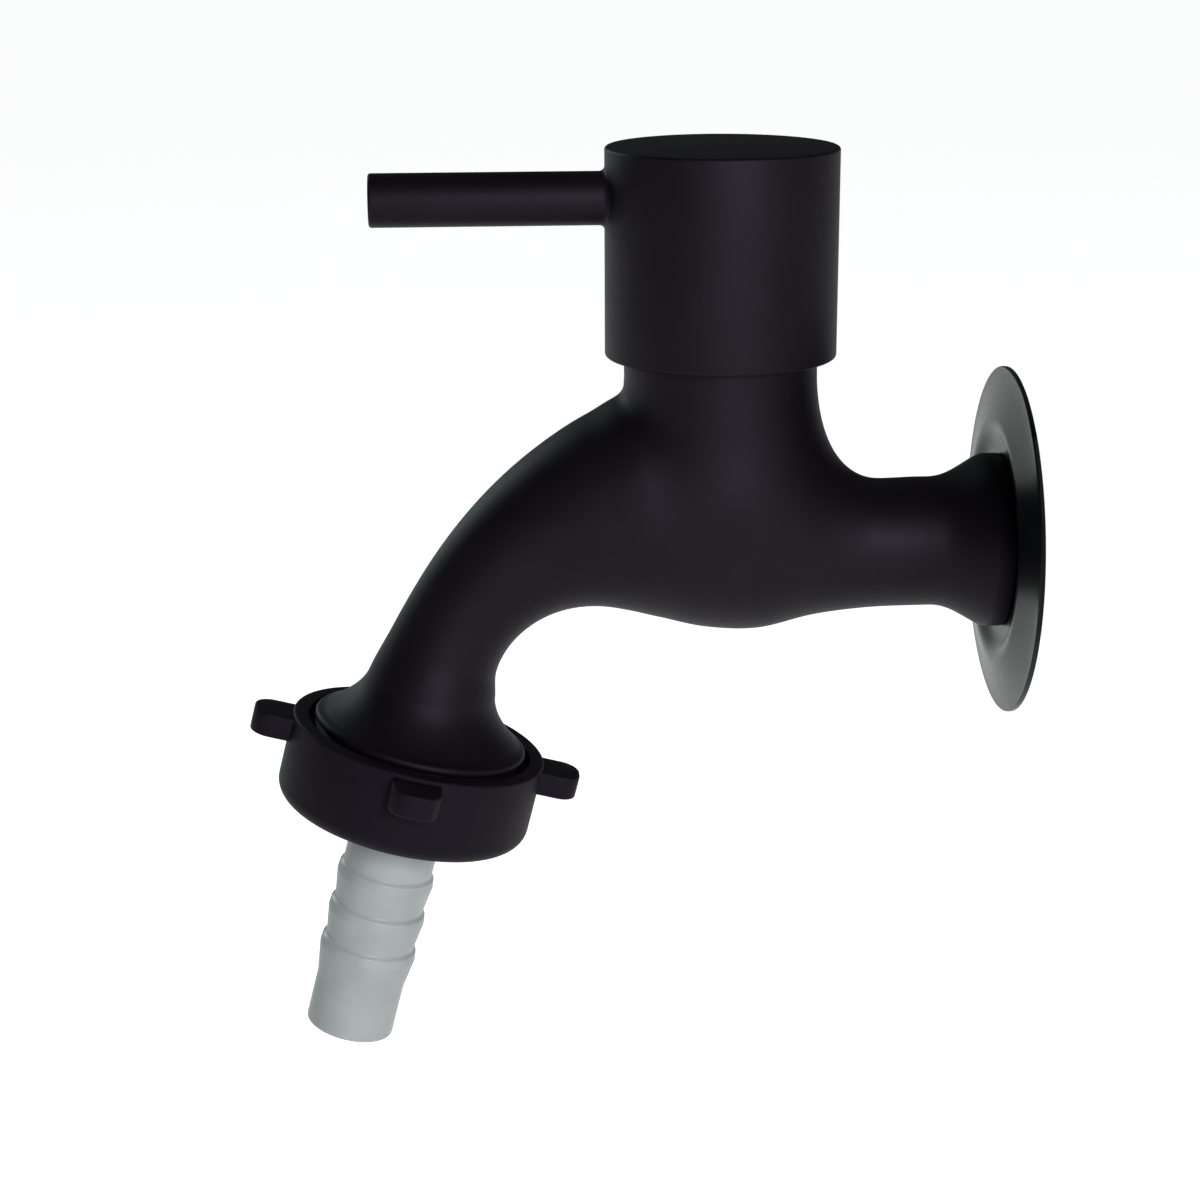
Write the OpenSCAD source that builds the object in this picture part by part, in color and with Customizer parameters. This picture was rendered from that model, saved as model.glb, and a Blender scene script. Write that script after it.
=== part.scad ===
// Laundry tub tap: wall-mounted quarter-turn tap with a hose union on its spout.
// Millimetres. The origin lies on the inlet's axis in the plane of the wall,
// +X goes into the wall along the inlet, +Z is up, and the tap is alike about Y = 0.

/* [Layout] */
// Distance from the wall to the handle's turning axis
hub_off = 45; // [43:0.5:52]
// Height of the hub's lower rim above the inlet's axis
hub_base_z = 29.8; // [29:0.1:33]
// Distance from the wall to the middle of the outlet's lip
outlet_off = 91.8; // [89:0.5:98]
// How far the outlet's lip lies below the inlet's axis
outlet_drop = 29.9; // [27:0.5:36]
// Tilt of the outlet away from the wall, in degrees
outlet_tilt = 14.3; // [8:0.1:20]

/* [Body] */
// Outer diameter of the inlet tube
tube_d = 20; // [19:0.1:21]
// Outer diameter of the neck under the hub
neck_d = 29.2; // [28.5:0.1:29.8]
// Height of the neck's top face above the inlet's axis
neck_top_z = 32.5; // [31:0.5:34]
// How far the belly under the hub hangs below the inlet's axis
belly_drop = 13.3; // [12:0.1:15]
// Half the width of the belly across the tap
belly_half_w = 14.2; // [13:0.1:15]
// Outer diameter of the spout at its waist
waist_d = 17; // [16:0.1:19]
// Reach of the fillet along the inlet tube, from the neck
fillet_wall = 10.5; // [8:0.5:14]
// Reach of that fillet up the neck, from the inlet tube
fillet_up = 17; // [12:0.5:19]
// Reach of the fillet between the neck and the spout
fillet_spout = 1.7; // [1:0.1:4]
// Outer diameter of the collar that bears on the wall flange
collar_d = 26.9; // [25:0.1:29]
// Length of the collar with its flare
collar_l = 12.3; // [11:0.1:16]
// Width of the collar's straight edge
collar_edge = 2.5; // [1.5:0.1:4]
// Outer diameter of the outlet's lip
lip_d = 33.6; // [33.5:0.1:34.2]
// Thickness of the outlet's lip
lip_t = 1.6; // [1.2:0.1:2]
// Length of the flare above the lip
flare_l = 8.5; // [8:0.1:11]

/* [Waterway] */
// Diameter of the inlet bore
inlet_bore_d = 13; // [10:0.5:14]
// Diameter of the hole in the valve seat
seat_bore_d = 11; // [9:0.1:12]
// Height of the valve seat above the inlet's axis
seat_z = 9; // [8.5:0.1:10]
// Diameter of the chamber round the headwork
chamber_d = 22; // [21.5:0.1:23]
// Diameter of the spout's passage
spout_bore_d = 12; // [9:0.5:12.5]

/* [Threads] */
// Outside diameter of the G1/2 pipe thread
g_half_d = 20.955; // [20.955]
// Outside diameter of the G1 pipe thread
g_one_d = 33.249; // [33.249]
// Length of the inlet thread
inlet_thread_l = 14; // [10:1:20]
// Length of the headwork's thread
headwork_thread_l = 8; // [6:0.5:9]
// Radial clearance in a screwed or turning fit
fit = 0.05; // [0.02:0.01:0.1]
// Radial clearance of the union nut round the outlet's thread
nut_fit = 0.1; // [0.05:0.01:0.15]

/* [Wall flange] */
// Outer diameter of the wall flange
flange_d = 53.7; // [48:0.1:65]
// Diameter of the flange's raised ring
crest_d = 37.4; // [34:0.1:42]
// How far the raised ring stands off the wall
crest_h = 2.2; // [1.6:0.1:3.5]
// Height of the sunk middle off the wall, at its front
recess_h = 1.1; // [1:0.05:1.4]
// Thickness of the pressed sheet
sheet_t = 0.8; // [0.5:0.1:1]

/* [Handle] */
// Outer diameter of the hub
hub_d = 35; // [34:0.1:38]
// Height of the hub
hub_h = 31.3; // [30:0.1:36]
// Wall of the hub's skirt
hub_wall = 1.85; // [1.2:0.05:2]
// Thickness of the hub's top
hub_roof = 3.6; // [2:0.1:5]
// Outer diameter of the boss inside the hub
boss_d = 20; // [18:0.5:24]
// Diameter of the lever
lever_d = 8; // [6:0.1:9]
// Reach of the lever from the hub's axis
lever_reach = 52.5; // [40:0.5:70]
// Depth of the lever's axis below the hub's top
lever_depth = 7.5; // [6:0.1:9]
// Radius of the fillet where the lever meets the hub
lever_fillet = 0.8; // [0.4:0.1:1.5]
// Diameter of the grub screw
grub_d = 5; // [4:0.5:6]
// Length of the grub screw
grub_l = 6; // [5:0.5:7]

/* [Headwork] */
// Width across the flats of the headwork's hexagon
hex_af = 19; // [17:0.5:20]
// Height of the hexagon
hex_h = 5.5; // [4:0.5:6]
// Diameter of the headwork's flange
seat_flange_d = 25; // [24:0.1:26]
// Thickness of the headwork's flange
seat_flange_t = 1.5; // [1:0.1:2]
// Thickness of the gasket under that flange
gasket_t = 1; // [0.6:0.1:1.5]
// Outer diameter of the sleeve that holds the discs
sleeve_d = 18.2; // [17.8:0.1:18.4]
// Diameter of the ceramic discs
disc_d = 15.6; // [14.5:0.1:15.8]
// Thickness of the fixed disc
fixed_disc_t = 2.5; // [2:0.1:3]
// Thickness of the turning disc
turning_disc_t = 3; // [2.5:0.1:3.5]
// Thickness of the rubber seat seal
seat_seal_t = 2; // [1.5:0.1:2.5]
// Thickness of the spindle's driver plate
driver_t = 3; // [2.5:0.1:3.5]
// Thickness of the thrust washer
thrust_t = 0.8; // [0.5:0.1:1]
// Diameter of the spindle
spindle_d = 9; // [8.5:0.1:9.5]
// Diameter of the spindle's splined end
spline_d = 8; // [7:0.1:8.2]
// Number of teeth on the splined end
spline_n = 20; // [16:1:24]
// Section diameter of the spindle's O-rings
oring_t = 1.5; // [1.2:0.1:1.8]
// Outer diameter of the splined bush in the hub
bush_d = 12; // [11:0.1:13]

/* [Hose union] */
// Wall of the union nut at its rim
nut_wall = 2.4; // [2:0.1:4]
// Height of the union nut
nut_h = 13.7; // [12:0.1:16]
// Radial gap between the lip and the nut's rim
rim_gap = 0.9; // [0.5:0.1:1.1]
// Radius of the nut's lower edge
nut_round = 2.8; // [1:0.1:3]
// Thickness of the nut's floor
nut_floor = 2.2; // [1.8:0.1:3]
// Number of lugs round the nut
lug_n = 4; // [2:1:8]
// How far a lug stands out of the nut
lug_out = 6; // [3:0.1:8]
// Width of a lug
lug_w = 7.6; // [5:0.1:10]
// Thickness of a lug
lug_t = 3.8; // [3:0.1:5]
// Depth of a lug's upper face below the nut's rim
lug_depth = 0.7; // [0:0.1:2]
// Diameter of the hose tail between its barbs
tail_d = 14; // [13:0.1:15]
// Diameter of the hose tail over its barbs
barb_d = 15.5; // [14.5:0.1:16]
// Distance from the nut's rim to the first barb
barb_start = 23.2; // [20:0.1:26]
// Distance from barb to barb
barb_pitch = 6.4; // [5:0.1:8]
// Number of barbs
barb_n = 3; // [2:1:5]
// Length of the hose tail below the nut's rim
tail_l = 50.7; // [48:0.1:70]
// Diameter of the hose tail's bore
tail_bore_d = 10.6; // [8:0.1:11]
// Thickness of the hose tail's flange
tail_flange_t = 2.2; // [1.5:0.1:3]
// Thickness of the rubber hose washer
hose_washer_t = 2.2; // [1.5:0.1:3]

/* [Hidden] */
$fn = 96;
eps = 0.02;

tube_r = tube_d / 2;
neck_r = neck_d / 2;
waist_r = waist_d / 2;
hub_r = hub_d / 2;
hub_top_z = hub_base_z + hub_h;
lever_z = hub_top_z - lever_depth;

// The hub, its skirt and the lever
hub_in_r = hub_r - hub_wall;
boss_rise = 14.8;
grub_rise = 4.9;
boss_z = hub_base_z + boss_rise;
roof_z = hub_top_z - hub_roof;
grub_z = boss_z + grub_rise;

// The headwork's stack, from the valve seat upwards
disc_r = disc_d / 2;
fixed_disc_z = seat_z + seat_seal_t;
turning_disc_z = fixed_disc_z + fixed_disc_t;
driver_z = turning_disc_z + turning_disc_t;
thrust_z = driver_z + driver_t;
shoulder_z = thrust_z + thrust_t;
sleeve_in_r = disc_r + 2 * fit;
gasket_z = neck_top_z;
flange_z = gasket_z + gasket_t;
hex_z = flange_z + seat_flange_t;
spigot_z = hex_z + hex_h;
spigot_h = 2.2;
clip_t = 1;
clip_z = spigot_z + spigot_h + 2 * fit;
chamber_top_z = neck_top_z - headwork_thread_l - 1;
spindle_r = spindle_d / 2;
shank_r = spindle_r + fit;
groove_r = shank_r - fit - oring_t + 2 * eps;
oring_zs = [shoulder_z + 4 * oring_t, shoulder_z + 7 * oring_t];
bush_h = 9.6;
spline_top_z = boss_z + bush_h - 0.5 * oring_t;
spigot_wall = 2.6;
clip_w = 2.4;
clip_gap = 2.8;
groove_depth = 0.6;
tab_w = 3;
tab_h = 1.3;

// The wall end
thread_play = 0.3;
relief = 0.9;

// The outlet: heights are measured along its axis, upwards from the nut's rim
lip_rise = 1.2;
lip_r = lip_d / 2;
nut_r = lip_r + rim_gap + nut_wall;
outlet_end = -(nut_h - nut_floor - tail_flange_t - hose_washer_t);
rim_depth = 1.6;
nut_bore_r = g_one_d / 2 + nut_fit;
nut_hole_r = barb_d / 2 + 0.35;
tail_flange_r = g_one_d / 2 - 0.35;

// Smooth union of two distances, rounded over a reach of k
function smooth_min(a, b, k) = min(a, b) - pow(max(k - abs(a - b), 0), 2) / (4 * k);

// A point on a cubic curve and the slope there
function bezier(p, t) =
  pow(1 - t, 3) * p[0] + 3 * t * pow(1 - t, 2) * p[1] + 3 * t * t * (1 - t) * p[2] + pow(t, 3) * p[3];
function bezier_slope(p, t) =
  3 * pow(1 - t, 2) * (p[1] - p[0]) + 6 * t * (1 - t) * (p[2] - p[1]) + 3 * t * t * (p[3] - p[2]);

// Lean of a section square to a slope: 90 stands upright, 0 lies flat
function lean_of(d) = atan2(-d[0], -d[1]);

// Plane of symmetry, as [x, z]: where the spout starts to flare, and the outlet's way up
outlet_up = [sin(outlet_tilt), cos(outlet_tilt)];
flare_at = [-outlet_off, -outlet_drop] + flare_l * outlet_up;

// Middle line of the spout's outside, from its crown beside the neck to its flare
crown_back = 10.2;
crown_z = 6.9;
crown_lean = 87.5;
crown_at = [-hub_off - crown_back, crown_z];
spout_line = [
  crown_at,
  crown_at + 19.8 * [-sin(crown_lean), -cos(crown_lean)],
  flare_at + 14.6 * outlet_up,
  flare_at
];

// The spout tapers from its crown to a waist at three quarters of its line, and
// between the two its lower side bulges out and its upper side draws in
waist_t = 0.765;
horn_swell = 9.75;
flare_swell = 1.6;
throat_bulge = 2.5;
crown_dip = 0.8;
function horn_bulge(t) = 4 * t * pow(1 - t, 2);
function horn_r(t) = waist_r + (t < waist_t
  ? horn_swell * pow(1 - t / waist_t, 2)
  : flare_swell * pow((t - waist_t) / (1 - waist_t), 2));
function horn_side(t) = horn_r(t) - (horn_r(0) - belly_half_w - 0.2) * pow(1 - t, 5);

// Sections of the body as [x, z, lean, height above, height below, half width],
// first along the inlet tube and under the hub, then down the spout
tube_steps = 6;
loft_x = -collar_l * 0.46;
step_x = (hub_off + crown_back + loft_x) / tube_steps;
crown_h = horn_r(0) - 0.4;
tube_sizes = [
  [0, 90, tube_r, tube_r, tube_r],
  [0, 90, tube_r, tube_r, tube_r],
  [0, 90, tube_r, tube_r + 0.2, tube_r],
  [0.5, 90.5, tube_r + 1.4, (tube_r + belly_drop) / 2, tube_r + 0.8],
  [1.9, 92, tube_r + 3, belly_drop + 1.7, belly_half_w - 1.6],
  [4.5, 91, crown_h - 2.6, belly_drop + 3.9, belly_half_w - 0.2],
  [crown_z, crown_lean, crown_h, belly_drop + 4.6, belly_half_w + 0.2]
];
horn_steps = 8;
body_sections = concat(
  [for (i = [0 : tube_steps]) concat([loft_x - i * step_x], tube_sizes[i])],
  [for (j = [1 : horn_steps])
    let (
      t = j / horn_steps,
      p = bezier(spout_line, t),
      d = bezier_slope(spout_line, t),
      b = horn_bulge(t)
    )
    [p[0], p[1], lean_of(d), horn_r(t) - crown_dip * b, horn_r(t) + throat_bulge * b, horn_side(t)]],
  [let (p = flare_at - 3.5 * outlet_up, r = horn_r(1))
    [p[0], p[1], outlet_tilt, r, r, r]]
);
last_section = len(body_sections) - 1;

// A section between two of the table's, on a smooth curve through them
function section_at(t) =
  let (
    i = min(floor(t), last_section - 1),
    u = t - i,
    b = body_sections[i],
    c = body_sections[i + 1],
    a = i == 0 ? 2 * b - c : body_sections[i - 1],
    d = i + 2 > last_section ? 2 * c - b : body_sections[i + 2]
  )
  0.5 * (2 * b + (c - a) * u + (2 * a - 5 * b + 4 * c - d) * u * u + (3 * b - a - 3 * c + d) * pow(u, 3));

// Distance to the body's skin at a point on a ray across a section: the section's
// own outline and the neck, run together with a fillet that is wide towards the wall
neck_foot_z = 6;
neck_cut_z = hub_base_z - 2.6;
skin_top_z = neck_cut_z + 1.2;
neck_low_z = neck_cut_z - 3.1;
function ray_point(s, dir, t) = [s[0] - cos(s[2]) * dir[0] * t, dir[1] * t, s[1] + sin(s[2]) * dir[0] * t];
function outline_r(s, dir) = 1 / norm([dir[0] / (dir[0] > 0 ? s[3] : s[4]), dir[1] / s[5]]);
function skin_gap(s, dir, t) =
  let (
    p = ray_point(s, dir, t),
    away = [p[0] + hub_off, p[1]],
    w = (1 + away[0] / max(norm(away), eps)) / 2,
    k = fillet_spout + (fillet_wall - fillet_spout) * w,
    rise = 1 - (1 - fillet_wall / fillet_up) * w,
    neck = -smooth_min(neck_r - norm(away), p[2] - neck_foot_z, 8)
  )
  max(smooth_min((t - outline_r(s, dir)) * rise, neck, k), p[2] - skin_top_z);
function skin_reach(s, dir, near, far, n) =
  n == 0 ? near
    : skin_gap(s, dir, (near + far) / 2) < 0
      ? skin_reach(s, dir, (near + far) / 2, far, n - 1)
      : skin_reach(s, dir, near, (near + far) / 2, n - 1);

// Where the body's rings and rays lie: close together where the neck's wall turns into a fillet
sides = 56;
function at_x(x) = (loft_x - x) / step_x;
ring_places = concat(
  [0.3, 1, 1.6],
  [for (i = [10 : -1 : 1]) at_x(-hub_off + neck_r + 0.1 * i * i)],
  [for (a = [8 : 14 : 120]) at_x(-hub_off + neck_r * cos(a))],
  [for (i = [0 : 3]) tube_steps - 0.15 + 0.1 * i],
  [for (i = [0 : 14]) tube_steps + 0.23 + 0.053 * i],
  [for (i = [0 : 26]) tube_steps + 1.08 + 0.257 * i],
  [last_section - 0.9, last_section]
);
function skin_ring(place) =
  let (s = section_at(place))
  [for (i = [0 : sides - 1])
    let (t = 360 * i / sides, a = t - 20 * sin(t), dir = [cos(a), sin(a)])
    ray_point(s, dir, skin_reach(s, dir, outline_r(s, dir), 60, 22))];

// Middle line of the spout's passage, from the headwork's chamber to the flare
passage_line = [
  [-hub_off - 5, seat_z + spout_bore_d / 2 + 0.5],
  [-hub_off - 23, seat_z + 2],
  flare_at + 14 * outlet_up,
  flare_at - 1 * outlet_up
];
function passage_ring(t) =
  let (p = bezier(passage_line, t), lean = lean_of(bezier_slope(passage_line, t)), s = [p[0], p[1], lean])
  [for (a = [0 : 15 : 345]) ray_point(s, [cos(a), sin(a)], spout_bore_d / 2)];

// A closed tube through rings of points, which run clockwise seen from its start
module loft(rings) {
  n = len(rings[0]);
  last = len(rings) - 1;
  polyhedron(
    points = [for (ring = rings) for (p = ring) p],
    faces = concat(
      [[for (i = [0 : n - 1]) i]],
      [for (r = [0 : last - 1]) for (i = [0 : n - 1])
        let (j = (i + 1) % n)
        each [
          [r * n + i, (r + 1) * n + j, r * n + j],
          [r * n + i, (r + 1) * n + i, (r + 1) * n + j]
        ]],
      [[for (i = [n - 1 : -1 : 0]) last * n + i]]
    )
  );
}

// Points of an arc, for outlines
function arc(c, r, from, to, n) = [for (i = [0 : n]) let (a = from + (to - from) * i / n) c + r * [cos(a), sin(a)]];

// A round part about the inlet's axis, its outline as [radius, distance from the wall]
module about_inlet() {
  rotate([0, -90, 0])
    children();
}

// A round part about the outlet's axis, with heights up from the nut's rim
module about_outlet() {
  translate([-outlet_off, 0, -outlet_drop])
    rotate([0, outlet_tilt, 0])
      children();
}

// A part about the hub's axis
module about_hub() {
  translate([-hub_off, 0, 0])
    children();
}

// A ring about the Z axis
module ring(outer, inner, h) {
  difference() {
    cylinder(r = outer, h = h);
    translate([0, 0, -1])
      cylinder(r = inner, h = h + 2);
  }
}

// Collar at the wall end, swelling from the tube to its straight edge in one S-curve
module collar_shape() {
  collar_r = collar_d / 2;
  top = recess_h + collar_edge;
  start = tube_r + 1.5 * eps;
  about_inlet()
    rotate_extrude()
      polygon(concat(
        [[0, recess_h], [collar_r - 0.4, recess_h], [collar_r, recess_h + 0.4]],
        [for (i = [0 : 14])
          let (u = i / 14)
          [start + (collar_r - start) * (1 + cos(180 * pow(u, 0.77))) / 2, top + (collar_l - top) * u]],
        [[0, collar_l]]
      ));
}

// Flare and lip at the outlet, with the plain shank of its thread
module outlet_shape() {
  edge = lip_t / 2;
  wide = lip_r - edge - 0.1;
  start = horn_r(1) + 2 * eps;
  lead = 0.28;
  about_outlet()
    rotate_extrude()
      polygon(concat(
        [[0, outlet_end], [g_one_d / 2, outlet_end], [g_one_d / 2, lip_rise - lip_t]],
        arc([lip_r - edge, lip_rise - edge], edge, -70, 70, 8),
        [for (i = [0 : 12])
          let (u = 1 - i / 12)
          [start + (wide - start) * u * (lead + (1 - lead) * u), flare_l - (flare_l - lip_rise) * u]],
        [[0, flare_l]]
      ));
}

// Everything that the water runs through
module body_waterway() {
  translate([inlet_thread_l + 1, 0, 0])
    about_inlet()
      cylinder(d = inlet_bore_d, h = inlet_thread_l + 1 + hub_off + seat_bore_d / 2);
  about_hub() {
    cylinder(d = seat_bore_d, h = seat_z + 1);
    translate([0, 0, seat_z])
      cylinder(d = chamber_d, h = chamber_top_z - seat_z);
    translate([0, 0, seat_z + 1])
      cylinder(r = g_half_d / 2 + fit, h = neck_top_z);
  }
  loft([for (i = [0 : 14]) passage_ring(i / 14)]);
  about_outlet()
    translate([0, 0, outlet_end - 1])
      cylinder(r = spout_bore_d / 2 + eps, h = flare_l - outlet_end + 1);
}

// Body: inlet thread, collar, tube, belly, neck and spout in one casting
module tap_body() {
  color("#211f24")
    difference() {
      union() {
        difference() {
          loft([for (t = ring_places) skin_ring(t)]);
          translate([-hub_off - 25, -25, neck_cut_z])
            cube([50, 50, 50]);
        }
        about_hub()
          translate([0, 0, neck_low_z])
            cylinder(r = neck_r + 1.5 * eps, h = neck_top_z - neck_low_z);
        collar_shape();
        outlet_shape();
        translate([inlet_thread_l, 0, 0])
          about_inlet()
            cylinder(d = g_half_d, h = inlet_thread_l);
        about_inlet()
          translate([0, 0, -1])
            cylinder(r = g_half_d / 2 - relief, h = recess_h + 2);
      }
      body_waterway();
    }
}

// Wall flange: one pressed sheet with a raised ring and a sunk middle
module wall_flange() {
  rim_r = flange_d / 2;
  crest_r = crest_d / 2;
  hole_r = g_half_d / 2 + thread_play;
  floor_r = collar_d / 2 + 1.6;
  front = concat(
    [[hole_r, recess_h], [floor_r, recess_h]],
    arc([crest_r - 1.2, crest_h - 1.2], 1.2, 130, 62, 6),
    [for (i = [1 : 5])
      let (u = i / 6)
      [crest_r + (rim_r - crest_r) * u, sheet_t + (crest_h - sheet_t - 0.1) * pow(1 - u, 1.3)]],
    [[rim_r - 0.25, sheet_t], [rim_r, sheet_t - 0.25]]
  );
  back = [
    [rim_r, 0],
    [rim_r - 2.5, 0],
    [crest_r, crest_h - sheet_t],
    [crest_r - 1.2, crest_h - sheet_t],
    [floor_r, recess_h - sheet_t],
    [hole_r, recess_h - sheet_t]
  ];
  color("#26292b")
    about_inlet()
      rotate_extrude()
        polygon(concat(front, back));
}

// Hub and lever, moulded as one: a skirt over the neck, and a boss for the spindle
module handle() {
  edge = 0.45;
  lever_r = lever_d / 2;
  foot = hub_r - 0.35;
  color("#232126")
    about_hub()
      difference() {
        union() {
          rotate_extrude()
            polygon(concat(
              [[0, boss_z], [boss_d / 2, boss_z], [boss_d / 2, roof_z], [hub_in_r, roof_z]],
              [[hub_in_r, hub_base_z + edge], [hub_in_r + edge, hub_base_z]],
              arc([hub_r - edge, hub_base_z + edge], edge, -90, 0, 4),
              arc([hub_r - edge, hub_top_z - edge], edge, 0, 90, 4),
              [[0, hub_top_z]]
            ));
          translate([0, 0, lever_z])
            rotate([0, -90, 0])
              rotate_extrude()
                polygon(concat(
                  [[0, boss_d / 2 - 1], [lever_r, boss_d / 2 - 1], [lever_r, hub_in_r + 0.4]],
                  [[lever_r + lever_fillet, hub_in_r + 0.4]],
                  arc([lever_r + lever_fillet, foot + lever_fillet], lever_fillet, 270, 180, 5),
                  arc([lever_r - edge, lever_reach - edge], edge, 0, 90, 4),
                  [[0, lever_reach]]
                ));
        }
        translate([0, 0, boss_z - 1])
          cylinder(r = bush_d / 2 + fit, h = bush_h + 1.2);
        translate([0, 0, grub_z])
          rotate([0, 90, 0])
            cylinder(r = grub_d / 2 + fit, h = boss_d / 2 + 1);
        translate([hub_in_r - 1, 0, grub_z])
          rotate([0, 90, 0])
            cylinder(r = grub_d / 2 + 0.3, h = hub_wall + 2);
      }
}

// Grub screw that clamps the handle to the spindle, reached through the hub's rear
module grub_screw() {
  tip = spline_d / 2 + fit;
  color("#5b5d60")
    about_hub()
      translate([tip, 0, grub_z])
        rotate([0, 90, 0])
          difference() {
            cylinder(d = grub_d, h = grub_l);
            translate([0, 0, grub_l - grub_d / 2])
              cylinder(d = grub_d * 0.58, h = grub_d, $fn = 6);
          }
}

// Outline of a serrated shaft, or of its socket with some play added
module spline_outline(play) {
  depth = spline_d * 0.06;
  polygon([for (i = [0 : 2 * spline_n - 1])
    let (a = 180 * i / spline_n, r = spline_d / 2 + play - (i % 2) * depth)
    r * [cos(a), sin(a)]]);
}

// Plastic bush that carries the spindle's serrations in the hub
module spline_bush() {
  color("#d9d6cc")
    about_hub()
      difference() {
        translate([0, 0, boss_z])
          cylinder(d = bush_d, h = bush_h);
        translate([0, 0, boss_z - 1])
          linear_extrude(bush_h + 2)
            spline_outline(fit);
        translate([0, 0, grub_z])
          rotate([0, 90, 0])
            cylinder(r = grub_d / 2 + fit, h = bush_d);
      }
}

// A sector of a ring, centred on the Y axis and seen from above
module sector(inner, outer, half_angle, h) {
  linear_extrude(h)
    polygon(concat(
      arc([0, 0], outer, 90 - half_angle, 90 + half_angle, 12),
      arc([0, 0], inner, 90 + half_angle, 90 - half_angle, 6)
    ));
}

// Something repeated on both sides of the hub's axis, turned by an angle
module both_sides(turn) {
  for (a = [turn, turn + 180])
    rotate([0, 0, a])
      children();
}

// Headwork body: hexagon, flange, thread, and a sleeve with two side windows
module headwork_body() {
  window_low = turning_disc_z - 0.4;
  window_h = turning_disc_t + driver_t * 0.4;
  color("#b08d4a")
    about_hub()
      difference() {
        union() {
          translate([0, 0, seat_z + 0.8])
            cylinder(d = sleeve_d, h = chamber_top_z - seat_z);
          translate([0, 0, chamber_top_z + 0.8])
            cylinder(d = g_half_d, h = flange_z - chamber_top_z - 0.8 + eps);
          translate([0, 0, flange_z])
            cylinder(d = seat_flange_d, h = seat_flange_t);
          translate([0, 0, hex_z - eps])
            cylinder(d = hex_af / cos(30), h = hex_h + eps, $fn = 6);
          translate([0, 0, spigot_z - eps])
            cylinder(r = spindle_r + spigot_wall, h = spigot_h + eps);
        }
        translate([0, 0, seat_z])
          cylinder(r = sleeve_in_r, h = shoulder_z - seat_z);
        cylinder(r = shank_r, h = spigot_z + spigot_h + 1);
        translate([0, 0, window_low])
          both_sides(0)
            sector(disc_r - 1, sleeve_d, 38, window_h);
      }
}

// Fibre gasket between the neck's top and the headwork's flange
module headwork_gasket() {
  color("#8c4a3c")
    about_hub()
      translate([0, 0, gasket_z])
        ring(seat_flange_d / 2, g_half_d / 2 + fit, gasket_t);
}

// Spindle: driver plate with two tabs, shank with two grooves, and the splined end
module spindle() {
  color("#c2a15c")
    about_hub()
      difference() {
        union() {
          translate([0, 0, driver_z])
            cylinder(r = disc_r - 0.2, h = driver_t);
          both_sides(0)
            translate([-tab_w / 2, disc_r * 0.42, driver_z - tab_h])
              cube([tab_w, disc_r * 0.42, tab_h + 1]);
          translate([0, 0, driver_z + 1])
            cylinder(r = spindle_r, h = boss_z - 0.4 - driver_z - 1);
          translate([0, 0, boss_z - 1])
            linear_extrude(spline_top_z - boss_z + 1)
              spline_outline(0);
        }
        for (z = oring_zs)
          translate([0, 0, z - 0.6 * oring_t])
            ring(spindle_r + 1, groove_r, 1.2 * oring_t);
        translate([0, 0, clip_z])
          ring(spindle_r + 1, spindle_r - groove_depth, clip_t + fit);
      }
}

// Spring clip that keeps the spindle from sinking into the headwork
module spindle_circlip() {
  color("#8f9296")
    about_hub()
      translate([0, 0, clip_z])
        difference() {
          ring(spindle_r - groove_depth + clip_w, spindle_r - groove_depth + fit, clip_t);
          translate([0, -clip_gap / 2, -1])
            cube([spindle_r + clip_w, clip_gap, clip_t + 2]);
        }
}

// Two O-rings round the spindle
module spindle_orings() {
  color("#1c1c1c")
    about_hub()
      for (z = oring_zs)
        translate([0, 0, z])
          rotate_extrude()
            translate([groove_r + oring_t / 2, 0])
              circle(d = oring_t, $fn = 24);
}

// Plastic washer that takes the water's thrust between the driver plate and the shoulder
module thrust_washer() {
  color("#e6e4dc")
    about_hub()
      translate([0, 0, thrust_z])
        ring(disc_r - 0.1, shank_r + fit, thrust_t);
}

// Turning ceramic disc: two notches let the water out sideways when they meet the ports
module turning_disc() {
  color("#f2efe6")
    about_hub()
      translate([0, 0, turning_disc_z])
        difference() {
          cylinder(r = disc_r, h = turning_disc_t);
          translate([0, 0, -1])
            both_sides(90)
              sector(disc_r * 0.3, disc_r + 1, 40, turning_disc_t + 2);
          both_sides(0)
            translate([-tab_w / 2 - fit, disc_r * 0.4, turning_disc_t - tab_h - fit])
              cube([tab_w + 2 * fit, disc_r, tab_h + 1]);
        }
}

// Fixed ceramic disc with its two ports
module fixed_disc() {
  color("#e9e5da")
    about_hub()
      translate([0, 0, fixed_disc_z])
        difference() {
          cylinder(r = disc_r, h = fixed_disc_t);
          translate([0, 0, -1])
            both_sides(0)
              sector(disc_r * 0.32, disc_r * 0.84, 36, fixed_disc_t + 2);
        }
}

// Rubber seal between the fixed disc and the seat
module seat_seal() {
  color("#2a2a2a")
    about_hub()
      translate([0, 0, seat_z])
        ring(disc_r, max(seat_bore_d / 2, disc_r * 0.84), seat_seal_t);
}

// One lug of the union nut: a flat tab with round corners, along +X
module lug() {
  corner = 3;
  tip = nut_r + lug_out;
  translate([0, 0, -lug_depth - lug_t])
    linear_extrude(lug_t) {
      translate([nut_r - 1.5, -lug_w / 2])
        square([lug_out + 1.5 - corner, lug_w]);
      translate([nut_r - 1.5, -lug_w / 2 + corner])
        square([lug_out + 1.5, lug_w - 2 * corner]);
      for (side = [-1, 1])
        translate([tip - corner, side * (lug_w / 2 - corner)])
          circle(r = corner);
    }
}

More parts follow.
